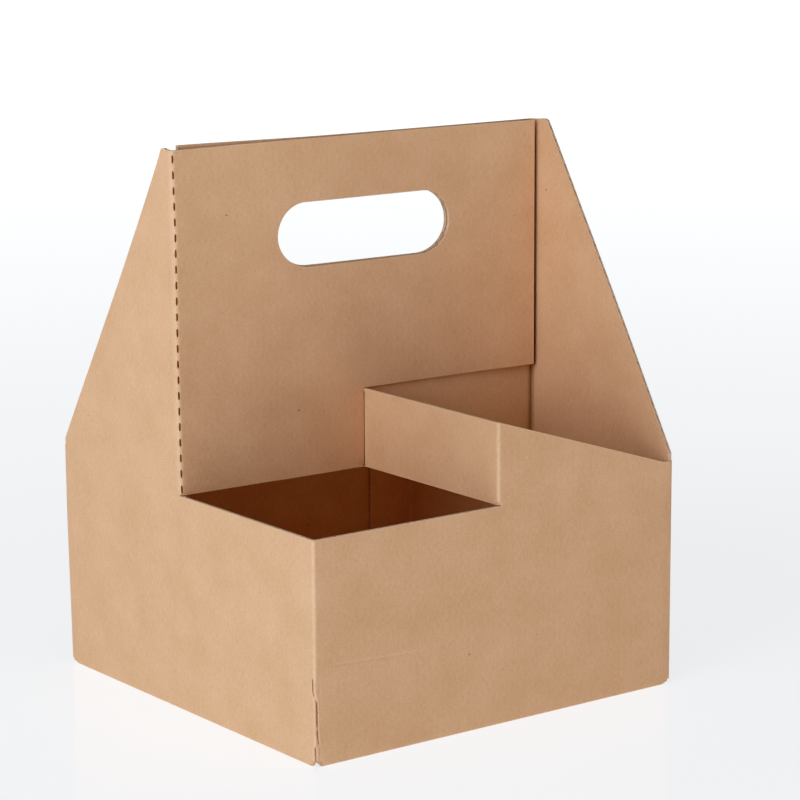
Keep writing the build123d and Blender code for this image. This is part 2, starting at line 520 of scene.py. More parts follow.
def keep_off(points, outlines, distance):
    """Drops the points that lie closer than the distance to a point of the outlines."""
    edge = np.vstack(outlines)
    kept = [point for point in points if np.hypot(*(edge - point).T).min() > distance]
    return np.array(kept)


def triangulate(outlines, extra, pockets):
    """Triangles between the outlines and in the pockets, and where each point of an outline went."""
    points = np.vstack(outlines + [extra])
    edges = []
    first = 0
    for outline in outlines:
        count = len(outline)
        edges += [(first + i, first + (i + 1) % count) for i in range(count)]
        first += count
    found = delaunay_2d_cdt([Vector(p) for p in points], edges, [], 0, 1e-6)
    places, triangles, sources = found[0], found[2], found[3]
    flat = np.array([tuple(p) for p in places])
    where = {}
    for index, origin in enumerate(sources):
        for source in origin:
            where[source] = index
    triangles = np.array([t for t in triangles if len(t) == 3])
    centres = flat[triangles].mean(axis=1)
    return flat, triangles[inside(centres, outlines)], triangles[inside(centres, pockets)], where


class Sheet:
    """The mesh as it grows: places in space, flat coordinates with the wear and the painted shade, faces
    and materials.
    """

    def __init__(self):
        self.places = []
        self.flats = []
        self.faces = []
        self.cuts = []
        self.count = 0

    def add_points(self, places, flats):
        """Adds the points and gives the first one's number."""
        first = self.count
        self.places.append(places)
        self.flats.append(flats)
        self.count += len(places)
        return first

    def add_faces(self, faces, cut):
        self.faces += [tuple(int(v) for v in face) for face in faces]
        self.cuts += [cut] * len(faces)


# The ridge that stands out along a fold, and the groove along its inside
RIDGE = 0.22
RIDGE_WIDTH = 0.55
PINCH = 0.3
PINCH_WIDTH = 0.5
# The fold between a ply and its divider bends the other way, so its groove is outside
VALLEY_PINCH = 0.9
VALLEY_WIDTH = 0.45
# The foot of the front corner is crushed and dented
CRUSH = 0.45
CRUSH_PLACE = S_FRONT_LEFT + 0.8
CRUSH_WIDTH = 2.0
CRUSH_TOP = 46.0
CRUSH_FADE = 16.0
DENT_MEAN = 0.6
DENT_SWING = 0.4
DENT_RATES = (0.55, 0.23)

# The crack in the liner at that foot: its place beside the fold, and its depth, each by height
CRACK_PATH = (
    (2, 0.0),
    (8.4, -0.1),
    (10, 1.1),
    (14.6, 0.5),
    (18, 0.6),
    (27, 0.5),
    (32, -0.9),
    (37.5, -1.0),
)
CRACK_DEPTH = (
    (1, 0),
    (3, 1),
    (8.4, 1),
    (9.2, 0.4),
    (15, 1),
    (16.5, 0.4),
    (18, 1),
    (27, 1),
    (29, 0.5),
    (32, 1),
)
CRACK_TOP = 38.0
CRACK_FADE = 2.0
CRACK_WIDTH = 0.33
CRACK_GROOVE = 0.35
CRACK_RIPPLE = 0.08
CRACK_RIPPLE_RATE = 3.1
CRACK_LIP = 0.18
CRACK_LIP_PLACE = 0.85
CRACK_LIP_WIDTH = 0.3
CRACK_LIP_FADE = 4.0
# The close columns of points reach this far to both sides of the fold, to carry the crack
CRACK_SPREAD = 2.4


def corner_crack(flat, glued):
    """How deep the crack in the front corner is at each point, and how raised its torn lips are."""
    s, z = flat[:, 0], flat[:, 1]
    if glued:
        return np.zeros(len(s)), np.zeros(len(s))
    ripple = CRACK_RIPPLE * np.sin(CRACK_RIPPLE_RATE * z)
    across = s - S_FRONT_LEFT - np.interp(z, *zip(*CRACK_PATH)) - ripple
    depth = np.interp(z, *zip(*CRACK_DEPTH)) * smooth((CRACK_TOP - z) / CRACK_FADE) * (z > FOLD)
    crack = depth * hump(across, 0, CRACK_WIDTH)
    lips = hump(abs(across), CRACK_LIP_PLACE, CRACK_LIP_WIDTH)
    return crack, lips * smooth((CRACK_TOP - z) / CRACK_LIP_FADE) * (z > FOLD)


def liner_levels(flat, side, glued):
    """Thickness level of a liner: side 1 is the outer one, and -1 the inner one."""
    s, z = flat[:, 0], flat[:, 1]
    level = np.full(len(s), side * HALF)
    upper = z > LOW_RIM + KERF / 2
    middle = upper & (z < DIVIDER_TOP + KERF / 2)
    folds = [(S_CREASE, upper), (S_MIDDLE, middle), (S_FRONT_LEFT, ~upper)]
    folds += [(S_BACK_LEFT, z > FOLD), (S_FRONT_RIGHT, z > FOLD)]
    if side < 0:
        for station, where in folds:
            level += np.where(where, PINCH * hump(s, station, PINCH_WIDTH), 0)
        return level
    level -= np.where(middle, VALLEY_PINCH * hump(s, S_VALLEY, VALLEY_WIDTH), 0)
    for station, where in folds:
        level += np.where(where, RIDGE * hump(s, station, RIDGE_WIDTH), 0)
    level += np.where(z < 3 * BEND, RIDGE * hump(z, HALF, RIDGE_WIDTH), 0)
    if not glued:
        low = ~upper & (z > FOLD) & (s > S_CREASE)
        dents = DENT_MEAN + DENT_SWING * np.sin(z * DENT_RATES[0]) * np.sin(z * DENT_RATES[1] + 1)
        crush = CRUSH * hump(s, CRUSH_PLACE, CRUSH_WIDTH) * smooth((CRUSH_TOP - z) / CRUSH_FADE)
        level -= np.where(low, crush * dents, 0)
    crack, lips = corner_crack(flat, glued)
    return level + CRACK_LIP * lips - CRACK_GROOVE * crack


# Wear of the outer face. The ridges are pale, and so are the crack's lips and a band beside the valley.
WEAR_WIDTH = 0.5
CREASE_WEAR_PLACE = S_CREASE - 0.7
LIP_WEAR = 0.9
VALLEY_WEAR = 0.8
VALLEY_WEAR_PLACE = S_VALLEY + 1.5
VALLEY_WEAR_WIDTH = 0.8
# Painted shade: the valley, the foot of the fold at the floor and the crack are painted dark, where shade
# falls
VALLEY_SHADE_WIDTH = 0.5
FOOT_SHADE = 0.5
FOOT_SHADE_HEIGHT = -0.2
FOOT_SHADE_WIDTH = 0.4
CRACK_SHADE = 1.0
# Painted shade: the inner face is painted dark in the crease that carries a ply, where shade falls, and a
# slit's floor is painted dark as the shade of a cut through the board
CREASE_SHADE = 0.8
CREASE_SHADE_PLACE = S_CREASE - 0.4
CREASE_SHADE_WIDTH = 0.9
SLIT_SHADE = 0.7


def fold_wear_and_shade(flat, glued):
    """How worn the outer face is, and where painted shade darkens it: 1 on a pale ridge, 0 away from folds,
    below 0 where shade is painted in the valley, at the foot and in the crack.
    """
    s, z = flat[:, 0], flat[:, 1]
    upper = z > LOW_RIM + KERF / 2
    middle = upper & (z < DIVIDER_TOP + KERF / 2)
    ridges = [(CREASE_WEAR_PLACE, upper), (S_MIDDLE, middle), (S_FRONT_LEFT, ~upper & (z > FOLD))]
    ridges += [(S_BACK_LEFT, z > FOLD), (S_FRONT_RIGHT, z > FOLD)]
    wear_and_shade = np.zeros(len(s))
    for station, where in ridges:
        wear_and_shade = np.maximum(wear_and_shade, np.where(where, hump(s, station, WEAR_WIDTH), 0))
    beside_valley = np.where(middle, hump(s, VALLEY_WEAR_PLACE, VALLEY_WEAR_WIDTH), 0)
    # Painted shade: a dark line in the valley fold, a dark contact line at the foot of the fold at the
    # floor, and the dark of the crack
    valley_shade = np.where(middle, hump(s, S_VALLEY, VALLEY_SHADE_WIDTH), 0)
    foot = np.where(z < FOLD, hump(z, FOOT_SHADE_HEIGHT, FOOT_SHADE_WIDTH), 0)
    cracks, lips = corner_crack(flat, glued)
    wear_and_shade = np.maximum(wear_and_shade, LIP_WEAR * lips)
    wear_and_shade = np.maximum(wear_and_shade, VALLEY_WEAR * beside_valley) * (1 - cracks)
    return wear_and_shade - valley_shade - FOOT_SHADE * foot - CRACK_SHADE * cracks


def crease_shade(flat):
    """How much painted shade darkens the inner face at each point, in the crease that carries a ply."""
    s, z = flat[:, 0], flat[:, 1]
    deep = hump(s, CREASE_SHADE_PLACE, CREASE_SHADE_WIDTH)
    return CREASE_SHADE * np.where(z > LOW_RIM + KERF / 2, deep, 0)


CUT_LEVELS = 14
RECESS_ALONG = 1.2
RECESS_ACROSS = 0.3
LIP = 0.12
LIP_BAND = 0.5
MEDIUM_CLEARANCE = 0.03
LINER_FACE, CUT_FACE = 0, 1

# At each level of a cut edge: how far it lies back from the cut on the liners, its share of the recess,
# and its wear
BACK = np.array([LIP_BAND, LIP, 0, 0, 0, 0, 0, 0, 0, 0, 0, 0, LIP, LIP_BAND])
SUNK = np.array([0, 0, 0, 0, 1, 1, 0, 0, 1, 1, 0, 0, 0, 0])
WORN = np.array([0, 1, 1, 0, 0, 0, 0, 0, 0, 0, 0, 0.5, 0.5, 0])


def cut_profile(s, open_edge):
    """Thickness levels across a cut edge: liner, hollow, medium, hollow, liner, at each s."""
    swing = HALF - LINER - MEDIUM / 2 - MEDIUM_CLEARANCE
    wave = swing * np.cos(2 * math.pi * s / FLUTE_PITCH) * open_edge
    outer, inner = HALF - LINER, -HALF + LINER
    level = np.zeros((len(s), CUT_LEVELS))
    level[:, 0] = level[:, 1] = HALF
    level[:, 2] = HALF - LIP
    level[:, 3] = level[:, 4] = outer
    level[:, 5] = level[:, 6] = wave + MEDIUM / 2
    level[:, 7] = level[:, 8] = wave - MEDIUM / 2
    level[:, 9] = level[:, 10] = inner
    level[:, 11] = -HALF + LIP
    level[:, 12] = level[:, 13] = -HALF
    return level


def outward_of(points, kinds):
    """The flat outward direction at each point of an outline, and zero where it joins another chart."""
    ahead = np.roll(points, -1, axis=0) - points
    ahead /= np.linalg.norm(ahead, axis=1)[:, None]
    mean = ahead + np.roll(ahead, 1, axis=0)
    mean /= np.maximum(np.linalg.norm(mean, axis=1), 1e-9)[:, None]
    joined = np.array([kind == JOIN for kind in kinds])
    free = ~(joined | np.roll(joined, 1))
    return np.column_stack([mean[:, 1], -mean[:, 0]]) * free[:, None], free


def rings_of(outlines, where):
    """For each outline, the triangulation's number of each of its points."""
    rings = []
    first = 0
    for outline in outlines:
        rings.append(np.array([where[first + i] for i in range(len(outline))]))
        first += len(outline)
    return rings


class Chart:
    """A part of the flat sheet that is drawn at once, and how it is folded and placed."""

    def __init__(self, sheet, glued, tab=False, shift=0.0, turned=False):
        self.sheet = sheet
        self.glued = glued
        self.tab = tab
        self.shift = shift
        self.turned = turned

    def add_points(self, points, thickness, drawn, wear_and_shade):
        """Folds the points and adds them, with the place where they are drawn in the pattern."""
        places = settle(fold_up(points, thickness, self.glued, self.tab), points, self.glued)
        if self.turned:
            places[:, :2] *= -1
        return self.sheet.add_points(places, np.column_stack([drawn[:, 0] + self.shift, drawn[:, 1], wear_and_shade]))

    def add_liners(self, flat, triangles, plugs):
        """Adds both faces of the board. The plugs close the slits' pockets inside the board."""
        outer_levels = liner_levels(flat, 1, self.glued)
        inner_levels = liner_levels(flat, -1, self.glued)
        outer = self.add_points(flat, outer_levels, flat, fold_wear_and_shade(flat, self.glued))
        # The inner face carries painted shade in its crease, and the slits' floors are painted dark as
        # shade
        inner = self.add_points(flat, inner_levels, flat, -crease_shade(flat))
        floor = self.add_points(flat, inner_levels + LINER, flat, np.full(len(flat), -SLIT_SHADE))
        self.sheet.add_faces(triangles + outer, LINER_FACE)
        self.sheet.add_faces(triangles[:, ::-1] + inner, LINER_FACE)
        self.sheet.add_faces(plugs[:, ::-1] + inner, LINER_FACE)
        self.sheet.add_faces(plugs + floor, LINER_FACE)
        return outer, inner, floor

    def add_slit(self, outer, floor):
        """Adds the walls of a slit's pocket, between its rings on the outer face and on its floor."""
        walls = np.column_stack([outer, floor, np.roll(floor, -1), np.roll(outer, -1)])
        self.sheet.add_faces(walls, LINER_FACE)

    def add_cut(self, points, kinds, outer, inner):
        """Adds the cut edge between an outline's rings on the two faces, with its open flutes."""
        total = len(points)
        out, free = outward_of(points, kinds)
        open_edge = np.array([kind == OPEN for kind in kinds], float)
        levels = cut_profile(points[:, 0], open_edge * free)
        depth = np.where(open_edge > 0, RECESS_ALONG, RECESS_ACROSS)
        recess = np.column_stack([out[:, 0] * RECESS_ACROSS, out[:, 1] * depth])
        rows = np.zeros((total, CUT_LEVELS), int)
        rows[:, 0] = outer
        rows[:, -1] = inner
        for level in range(1, CUT_LEVELS - 1):
            sunk = points - SUNK[level] * recess - BACK[level] * out
            first = self.add_points(sunk, levels[:, level], points, np.full(total, WORN[level]))
            rows[:, level] = first + np.arange(total)
        following = np.roll(rows, -1, axis=0)
        for row, after, kind in zip(rows, following, kinds):
            if kind == JOIN:
                continue
            quads = np.column_stack([row[:-1], row[1:], after[1:], after[:-1]])
            self.sheet.add_faces(quads[:2], LINER_FACE)
            self.sheet.add_faces(quads[2:-2], CUT_FACE)
            self.sheet.add_faces(quads[-2:], LINER_FACE)

    def build(self, loops, extra):
        """Adds the part inside the loops, with the extra points as far as they lie clear of the cuts."""
        outlines = [points for points, kinds in loops]
        pockets = [points for points, kinds in loops if kinds[0] == SLIT]
        cuts = [points for points, kinds in loops if kinds[0] != SLIT]
        extra = extra[inside(extra, outlines)]
        extra = keep_off(extra, cuts, LIP_BAND + EDGE_CLEARANCE)
        extra = keep_off(extra, pockets, EDGE_CLEARANCE) if pockets else extra
        flat, triangles, plugs, where = triangulate(outlines, extra, pockets)
        rings = rings_of(outlines, where)
        for (points, kinds), ring in zip(loops, rings):
            if kinds[0] != SLIT:
                flat[ring] = points - outward_of(points, kinds)[0] * LIP_BAND
        outer, inner, floor = self.add_liners(flat, triangles, plugs)
        for (points, kinds), ring in zip(loops, rings):
            if kinds[0] == SLIT:
                self.add_slit(ring + outer, ring + floor)
            else:
                self.add_cut(points, kinds, ring + outer, ring + inner)


def tab_outline():
    """The glue tab and the fold that carries it, anticlockwise."""
    seam = S_TAB - BEND
    root = S_TAB + BEND
    end = S_TAB + TAB_WIDTH
    return [
        ((seam, FOLD), PLAIN),
        ((root, FOLD), PLAIN),
        ((end, FOLD + TAB_TAPER), PLAIN),
        ((end, LOW_RIM - TAB_TAPER), PLAIN),
        ((root, LOW_RIM), PLAIN),
        ((seam, LOW_RIM), JOIN),
    ]


def build_sheet():
    """Both halves, and the glue tab of the second one."""
    sheet = Sheet()
    for glued in (False, True):
        loops = [loop(half_outline(glued)), loop(grip_outline())]
        loops += [loop(outline) for outline in slit_outlines()]
        if not glued:
            loops.append(loop(slot_outline()))
        half = Chart(sheet, glued, shift=S_FRONT_RIGHT if glued else 0.0, turned=glued)
        half.build(loops, inner_points(glued))
    extra = lattice(bend_columns(S_TAB), np.arange(FOLD + FOLD_STEP, LOW_RIM, FOLD_STEP))
    tab = Chart(sheet, True, tab=True, shift=2 * S_FRONT_RIGHT, turned=True)
    tab.build([loop(tab_outline())], extra)
    return sheet


WELD = 2e-6
SHARP_ANGLE = 35.0


def make_mesh(sheet):
    """The folded sheet as one welded mesh object, in metres."""
    places = np.vstack(sheet.places) * MM
    flats = np.vstack(sheet.flats)
    mesh = bpy.data.meshes.new("carrier_board")
    mesh.from_pydata([tuple(p) for p in places], [], sheet.faces)
    corners = np.zeros(len(mesh.loops), int)
    mesh.loops.foreach_get("vertex_index", corners)
    layer = mesh.uv_layers.new(name="flat")
    layer.data.foreach_set("uv", (flats[corners, :2] * MM).ravel())
    wear_and_shade = mesh.attributes.new(name="wear_and_shade", type="FLOAT", domain="POINT")
    wear_and_shade.data.foreach_set("value", flats[:, 2])
    mesh.polygons.foreach_set("material_index", sheet.cuts)
    work = bmesh.new()
    work.from_mesh(mesh)
    bmesh.ops.remove_doubles(work, verts=work.verts, dist=WELD)
    loose = [v for v in work.verts if not v.link_faces]
    bmesh.ops.delete(work, geom=loose, context="VERTS")
    work.to_mesh(mesh)
    work.free()
    mesh.polygons.foreach_set("use_smooth", [True] * len(mesh.polygons))
    mesh.set_sharp_from_angle(angle=math.radians(SHARP_ANGLE))
    piece = bpy.data.objects.new("carrier_board", mesh)
    bpy.context.collection.objects.link(piece)
    return piece


SMALLEST_SPECK = 0.45
SPECULAR = 0.25


class Nodes:
    """A short way to write a material's nodes."""

    def __init__(self, name):
        self.material = bpy.data.materials.new(name)
        self.material.use_nodes = True
        self.tree = self.material.node_tree
        self.shader = self.tree.nodes["Principled BSDF"]

    def set(self, socket, value):
        """Links the socket to another one, or gives it a plain value."""
        if isinstance(value, bpy.types.NodeSocket):
            self.tree.links.new(value, socket)
        elif value is not None:
            socket.default_value = value

    def math(self, operation, a, b=None, c=None, clamp=False):
        """The result of a math operation on numbers or sockets."""
        node = self.tree.nodes.new("ShaderNodeMath")
        node.operation = operation
        node.use_clamp = clamp
        for socket, value in zip(node.inputs, (a, b, c)):
            self.set(socket, value)
        return node.outputs[0]

    def mix(self, factor, a, b):
        """Colour a where the factor is 0, colour b where it is 1, and between them elsewhere."""
        node = self.tree.nodes.new("ShaderNodeMix")
        node.data_type = "RGBA"
        self.set(node.inputs[0], factor)
        self.set(node.inputs[6], a)
        self.set(node.inputs[7], b)
        return node.outputs[2]

    def flat(self, stretch=(1, 1), offset=(0, 0)):
        """The flat sheet's coordinates in millimetres, stretched for a grain that runs one way."""
        source = self.tree.nodes.new("ShaderNodeUVMap")
        source.uv_map = "flat"
        mapping = self.tree.nodes.new("ShaderNodeMapping")
        self.set(mapping.inputs["Vector"], source.outputs[0])
        mapping.inputs["Scale"].default_value = (stretch[0] / MM, stretch[1] / MM, 1)
        mapping.inputs["Location"].default_value = (*offset, 0)
        return mapping.outputs[0]

    def noise(self, scale, detail=3.0, roughness=0.55, stretch=(1, 1), offset=(0, 0)):
        node = self.tree.nodes.new("ShaderNodeTexNoise")
        self.set(node.inputs["Vector"], self.flat(stretch, offset))
        node.inputs["Scale"].default_value = scale
        node.inputs["Detail"].default_value = detail
        node.inputs["Roughness"].default_value = roughness
        return node.outputs[0]

    def spread(self, value, low, high, to_low=0.0, to_high=1.0):
        """The value from low to high, mapped to the second range and held there outside it."""
        node = self.tree.nodes.new("ShaderNodeMapRange")
        for socket, number in zip(node.inputs, (value, low, high, to_low, to_high)):
            self.set(socket, number)
        return node.outputs[0]

    def specks(self, cell, size, share, stretch=(1, 1), offset=(0, 0)):
        """Specks of about that size, one in some of the cells: 1 inside a speck, 0 outside."""
        node = self.tree.nodes.new("ShaderNodeTexVoronoi")
        self.set(node.inputs["Vector"], self.flat(stretch, offset))
        node.inputs["Scale"].default_value = 1 / cell
        chosen = self.tree.nodes.new("ShaderNodeSeparateColor")
        self.set(chosen.inputs[0], node.outputs["Color"])
        some = self.math("LESS_THAN", chosen.outputs[0], share)
        varied = self.spread(chosen.outputs[1], 0, 1, SMALLEST_SPECK, 1.0)
        reach = self.math("MULTIPLY", varied, size / cell)
        near = self.math("SUBTRACT", 1.0, self.math("DIVIDE", node.outputs["Distance"], reach), clamp=True)
        return self.math("MULTIPLY", some, self.spread(near, 0, 0.5))

    def bump(self, height, distance, normal=None):
        node = self.tree.nodes.new("ShaderNodeBump")
        node.inputs["Distance"].default_value = distance
        self.set(node.inputs["Height"], height)
        self.set(node.inputs["Normal"], normal)
        return node.outputs[0]

    def finish(self, colour, roughness, normal):
        self.set(self.shader.inputs["Base Color"], colour)
        self.set(self.shader.inputs["Roughness"], roughness)
        self.set(self.shader.inputs["Normal"], normal)
        self.shader.inputs["Specular IOR Level"].default_value = SPECULAR
        return self.material


KRAFT_DARK = (0.653, 0.385, 0.223, 1)
KRAFT_LIGHT = (0.792, 0.497, 0.316, 1)
KRAFT_WORN = (0.86, 0.62, 0.43, 1)
# The dark of the painted shade, and of the scuff's lower line
SHADE_AND_SCUFF_DARK = (0.10, 0.035, 0.012, 1)
SPECK_DARK = (0.17, 0.085, 0.04, 1)
SPECK_LIGHT = (0.80, 0.58, 0.40, 1)
CUT_DARK = (0.62, 0.455, 0.33, 1)
CUT_LIGHT = (0.82, 0.63, 0.48, 1)

# The kraft's tone is a sum of patterns. Each has its scale per millimetre and its strength.
CLOUDS = dict(scale=0.045, detail=4.0, roughness=0.6)
FIBRES = dict(scale=1.5, roughness=0.6, stretch=(0.35, 1.5))
STRANDS = dict(scale=1.1, detail=2.0, roughness=0.6, stretch=(1.6, 0.3), offset=(11, 3))
GRAIN = dict(scale=3.2, detail=2.0, roughness=0.6)
CLOUD_STRENGTH = 0.28
FIBRE_STRENGTH = 0.34
STRAND_STRENGTH = 0.24
GRAIN_STRENGTH = 0.22
# The washboard's faint share of the tone is painted shade of its waves
WAVE_SHADE_STRENGTH = 0.006
TONE_SPAN = (0.42, 0.66)
ROUGHNESS_SPAN = (0.3, 0.8, 0.66, 0.84)

# Specks in the kraft: the pattern, the colour and how strongly it shows
SPECKS = (
    (dict(cell=5.0, size=0.55, share=0.25, stretch=(0.6, 1.3), offset=(3, 9)), SPECK_LIGHT, 0.35),
    (dict(cell=6.0, size=0.42, share=0.4), SPECK_DARK, 0.42),
    (dict(cell=19.0, size=0.8, share=0.7, stretch=(1.0, 1.5), offset=(5, 2)), SPECK_DARK, 0.7),
)

# Wear shows in patches, and the painted shade shows all along
PATCHES = dict(scale=0.6, offset=(2, 8))
PATCH_SPAN = (0.3, 0.6, 0.35, 1.0)
WEAR_STRENGTH = 0.45
PAINTED_SHADE_STRENGTH = 0.9

# How high the surface's relief is, in metres
WAVE_RELIEF = 0.00001
FIBRE_RELIEF = 0.00005
GRAIN_RELIEF = 0.00003
CUT_RELIEF = 0.0001

# The washboard's waves wander along the sheet, and are stronger in some places than in others
WANDER = dict(scale=0.02, detail=1.0)
WANDER_REACH = 1.2
WASHBOARD = dict(scale=0.018, detail=2.0, offset=(40, 7))
WASHBOARD_SPAN = (0.35, 0.65, 0.25, 1.0)


def flute_wave(nodes):
    """The washboard: the liner dips a little between the flutes, more in some places than others."""
    source = nodes.tree.nodes.new("ShaderNodeSeparateXYZ")
    nodes.set(source.inputs[0], nodes.flat((2 * math.pi / FLUTE_PITCH, 1)))
    wander = nodes.spread(nodes.noise(**WANDER), 0, 1, -WANDER_REACH, WANDER_REACH)
    wave = nodes.math("COSINE", nodes.math("ADD", source.outputs[0], wander))
    strength = nodes.spread(nodes.noise(**WASHBOARD), *WASHBOARD_SPAN)
    return nodes.math("MULTIPLY", wave, strength)


# A faint crosswise scuff on the front wall: its ends along the sheet, its height, and its fall per length
SCUFF_START = S_FRONT_LEFT + 7
SCUFF_END = S_FRONT_LEFT + 60
SCUFF_ONSET = 3
SCUFF_FADE = 20
SCUFF_HEIGHT = 41.5
SCUFF_FALL = 0.05
SCUFF_OFFSET = 0.5
SCUFF_WIDTH = 0.7
SCUFF_PALE = 0.16
SCUFF_DARK = 0.06


def scuff(nodes):
    """How strongly the scuff shows at a place: its pale upper line and its dark lower line."""
    place = nodes.tree.nodes.new("ShaderNodeSeparateXYZ")
    nodes.set(place.inputs[0], nodes.flat())
    along, up = place.outputs[0], place.outputs[1]
    start = SCUFF_HEIGHT + SCUFF_FALL * SCUFF_START
    height = nodes.math("SUBTRACT", nodes.math("MULTIPLY_ADD", along, SCUFF_FALL, up), start)
    span = nodes.math(
        "MULTIPLY",
        nodes.spread(along, SCUFF_START - SCUFF_ONSET, SCUFF_START + SCUFF_ONSET),
        nodes.spread(along, SCUFF_END - SCUFF_FADE, SCUFF_END, 1, 0),
    )
    lines = []
    for middle in (SCUFF_OFFSET, -SCUFF_OFFSET):
        away = nodes.math("ABSOLUTE", nodes.math("SUBTRACT", height, middle))
        lines.append(nodes.math("MULTIPLY", nodes.spread(away, 0, SCUFF_WIDTH, 1, 0), span))
    return lines


def kraft_material():
    """Brown kraft liner with fibres, specks, the washboard, the scuff, the wear along folds, and painted
    shade in the valley, the crease, the slits, the crack and at the foot.
    """
    nodes = Nodes("kraft_liner")
    wave = flute_wave(nodes)
    clouds = nodes.noise(**CLOUDS)
    fibres = nodes.noise(**FIBRES)
    strands = nodes.noise(**STRANDS)
    grain = nodes.noise(**GRAIN)
    tone = nodes.math("MULTIPLY", clouds, CLOUD_STRENGTH)
    tone = nodes.math("ADD", tone, nodes.math("MULTIPLY", fibres, FIBRE_STRENGTH))
    tone = nodes.math("ADD", tone, nodes.math("MULTIPLY", strands, STRAND_STRENGTH))
    tone = nodes.math("ADD", tone, nodes.math("MULTIPLY", grain, GRAIN_STRENGTH))
    # Painted shade of the washboard's waves
    tone = nodes.math("ADD", tone, nodes.math("MULTIPLY", wave, WAVE_SHADE_STRENGTH))
    colour = nodes.mix(nodes.spread(tone, *TONE_SPAN), KRAFT_DARK, KRAFT_LIGHT)
    for pattern, tint, strength in SPECKS:
        colour = nodes.mix(nodes.math("MULTIPLY", nodes.specks(**pattern), strength), colour, tint)
    upper, lower = scuff(nodes)
    colour = nodes.mix(nodes.math("MULTIPLY", upper, SCUFF_PALE), colour, KRAFT_WORN)
    colour = nodes.mix(nodes.math("MULTIPLY", lower, SCUFF_DARK), colour, SHADE_AND_SCUFF_DARK)
    wear_and_shade_source = nodes.tree.nodes.new("ShaderNodeAttribute")
    wear_and_shade_source.attribute_name = "wear_and_shade"
    patchy = nodes.spread(nodes.noise(**PATCHES), *PATCH_SPAN)
    wear_and_shade = nodes.math("MULTIPLY", wear_and_shade_source.outputs["Fac"], patchy)
    colour = nodes.mix(nodes.math("MULTIPLY", wear_and_shade, WEAR_STRENGTH, clamp=True), colour, KRAFT_WORN)
    # Painted shade: where the attribute is below zero, the valley, foot, crack, inner crease and slit
    # floors are darkened
    painted_shade = nodes.math("MULTIPLY", wear_and_shade_source.outputs["Fac"], -PAINTED_SHADE_STRENGTH, clamp=True)
    colour = nodes.mix(painted_shade, colour, SHADE_AND_SCUFF_DARK)
    normal = nodes.bump(wave, WAVE_RELIEF)
    normal = nodes.bump(fibres, FIBRE_RELIEF, normal)
    normal = nodes.bump(grain, GRAIN_RELIEF, normal)
    return nodes.finish(colour, nodes.spread(tone, *ROUGHNESS_SPAN), normal)


# The paper of the cut edges: matt, with streaks along the flutes
STREAKS = dict(scale=1.6, roughness=0.6, stretch=(2.0, 0.5))
CUT_GRAIN = dict(scale=4.0, detail=2.0, roughness=0.6)
STREAK_STRENGTH = 0.6
CUT_GRAIN_STRENGTH = 0.4
CUT_TONE_SPAN = (0.35, 0.65)
CUT_ROUGHNESS = 0.95


def cut_material():
    """The pale paper that the cut edges show."""
    nodes = Nodes("cut_board")
    streaks = nodes.math("MULTIPLY", nodes.noise(**STREAKS), STREAK_STRENGTH)
    grain = nodes.math("MULTIPLY", nodes.noise(**CUT_GRAIN), CUT_GRAIN_STRENGTH)
    tone = nodes.math("ADD", streaks, grain)
    colour = nodes.mix(nodes.spread(tone, *CUT_TONE_SPAN), CUT_DARK, CUT_LIGHT)
    material = nodes.finish(colour, CUT_ROUGHNESS, nodes.bump(tone, CUT_RELIEF))
    nodes.shader.inputs["Specular IOR Level"].default_value = 0.0
    return material


piece = make_mesh(build_sheet())
piece.data.materials.append(kraft_material())
piece.data.materials.append(cut_material())
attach(piece, "root")
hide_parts("carrier")

# Camera: the photograph's view, found by fitting measured corners of the carrier
VIEW_AZIMUTH = math.radians(-36.81)
VIEW_ELEVATION = math.radians(11.49)
VIEW_ROLL = math.radians(-0.30)
VIEW_DISTANCE = 1.2861
VIEW_TARGET = Vector((0.01922, 0, 0.12102))
FOCAL_PIXELS = 2922.8
IMAGE_PIXELS = 800
SENSOR = 36.0
CLIP_END = 50.0


def add_camera():
    towards = Vector((
        math.sin(VIEW_AZIMUTH) * math.cos(VIEW_ELEVATION),
        -math.cos(VIEW_AZIMUTH) * math.cos(VIEW_ELEVATION),
        math.sin(VIEW_ELEVATION),
    ))
    right = (-towards).cross(Vector((0, 0, 1))).normalized()
    up = right.cross(-towards)
    cos, sin = math.cos(VIEW_ROLL), math.sin(VIEW_ROLL)
    rolled_right = cos * right + sin * up
    rolled_up = -sin * right + cos * up
    data = bpy.data.cameras.new("camera")
    data.sensor_width = SENSOR
    data.lens = FOCAL_PIXELS / IMAGE_PIXELS * SENSOR
    data.clip_end = CLIP_END
    camera = bpy.data.objects.new("camera", data)
    axes = Matrix((rolled_right, rolled_up, towards)).transposed().to_4x4()
    camera.matrix_world = Matrix.Translation(VIEW_TARGET + VIEW_DISTANCE * towards) @ axes
    bpy.context.collection.objects.link(camera)
    bpy.context.scene.camera = camera


FLOOR_REACH = 12.0
FLOOR_NEAR = 0.74
FLOOR_FAR = 0.95
FLOOR_GLOW_REACH = (0.2, 2.2)
FLOOR_GLOW_COLOUR = (0.98, 1.0, 1.02, 1)
FLOOR_COLOUR = (0.28, 0.28, 0.28, 1)
FLOOR_ROUGHNESS = 0.09
FLOOR_SPECULAR = 0.10


